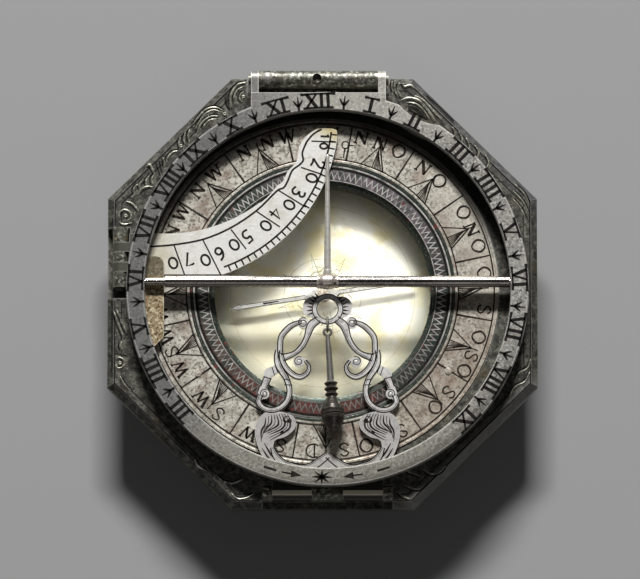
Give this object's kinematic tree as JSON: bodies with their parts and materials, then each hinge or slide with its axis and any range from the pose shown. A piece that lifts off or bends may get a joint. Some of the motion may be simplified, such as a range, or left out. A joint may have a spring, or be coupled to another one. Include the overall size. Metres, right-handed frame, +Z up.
{
  "type": "compass sundial",
  "caption": "Folding octagonal pocket sundial with a compass, a hinged hour ring, a latitude arc and a plumb bracket.",
  "frame": {"origin": "centre of the compass box's underside, on which the dial stands", "axes": "+Z up, away from the underside; +Y towards the hinge of the hour ring, the dial's north; +X east"},
  "size_m": [0.06, 0.062, 0.0131],
  "materials": {
    "plate": "engraved brass with a dark patina",
    "box": "turned gilt brass, tarnished",
    "card": "aged paper card with engraved rays",
    "gilt": "worn gilt brass",
    "steel": "drawn steel",
    "glass": "plain clear glass",
    "bezel": "engraved brass, silvered and worn",
    "rose": "engraved silver with reddish tarnish",
    "hinge": "dark worn brass",
    "silver": "polished worn silver",
    "ring": "engraved silver, toned grey",
    "arc": "engraved pale silver",
    "bracket": "pierced and chased silver",
    "bronze": "turned bronze, almost black with age"
  },
  "bodies": {
    "base": {"base_plate": "plate", "compass_box": "box", "card_plate": "box", "compass_card": "card", "needle_pivot": "gilt", "glass": "glass", "glass_ring": "bezel", "wind_rose_ring": "rose", "wind_rose_rivets": "rose", "ring_hinge_barrel": "hinge", "ring_hinge_pin": "hinge", "hinge_rivet": "silver", "arc_hinge_lugs": "hinge", "arc_hinge_pin": "hinge", "bracket_hinge_lugs": "hinge", "bracket_hinge_pin": "hinge"},
    "ring": {"hour_ring": "ring", "bar_clip": "gilt", "clip_rivets": "gilt"},
    "gnomon": {"gnomon_bar": "silver", "gnomon_boss": "gilt", "gnomon_pin": "silver"},
    "arc": {"latitude_arc": "arc"},
    "bracket": {"plumb_bracket": "bracket"},
    "link": {"plumb_link": "steel"},
    "bob": {"plumb_bob": "bronze"},
    "needle": {"compass_needle": "steel", "needle_cap": "gilt"}
  },
  "joints": [
    {"name": "ring_hinge", "type": "hinge", "parent": "base", "child": "ring", "pos_m": [-0.00057, 0.0301, 0.01085], "axis": [-1, 0, 0], "range_deg": [0, 100]},
    {"name": "arc_hinge", "type": "hinge", "parent": "base", "child": "arc", "pos_m": [-0.0282, 0.0048, 0.00945], "axis": [0, -1, 0], "range_deg": [0, 90]},
    {"name": "bracket_hinge", "type": "hinge", "parent": "base", "child": "bracket", "pos_m": [0.0007, -0.0287, 0.0095], "axis": [1, 0, 0], "range_deg": [0, 90]},
    {"name": "gnomon_turn", "type": "hinge", "parent": "ring", "child": "gnomon", "pos_m": [0.0007, 0.001, 0.0116], "axis": [1, 0, 0], "range_deg": [0, 90]},
    {"name": "plumb_swing", "type": "hinge", "parent": "bracket", "child": "link", "pos_m": [0.0007, -0.00445, 0.01025], "axis": [-1, 0, 0], "range_deg": [0, 60]},
    {"name": "plumb_sway", "type": "hinge", "parent": "link", "child": "bob", "pos_m": [0.0007, -0.0058, 0.01025], "axis": [0, 0, 1], "range_deg": [-5, 5]},
    {"name": "needle_spin", "type": "hinge", "parent": "base", "child": "needle", "pos_m": [0, 0, 0.0072], "axis": [0, 0, 1], "continuous": true}
  ],
  "couplings": [
    {"joint": "arc_hinge", "follows": "ring_hinge", "ratio": 0.9},
    {"joint": "bracket_hinge", "follows": "ring_hinge", "ratio": 0.9},
    {"joint": "gnomon_turn", "follows": "ring_hinge", "ratio": 0.9}
  ]
}
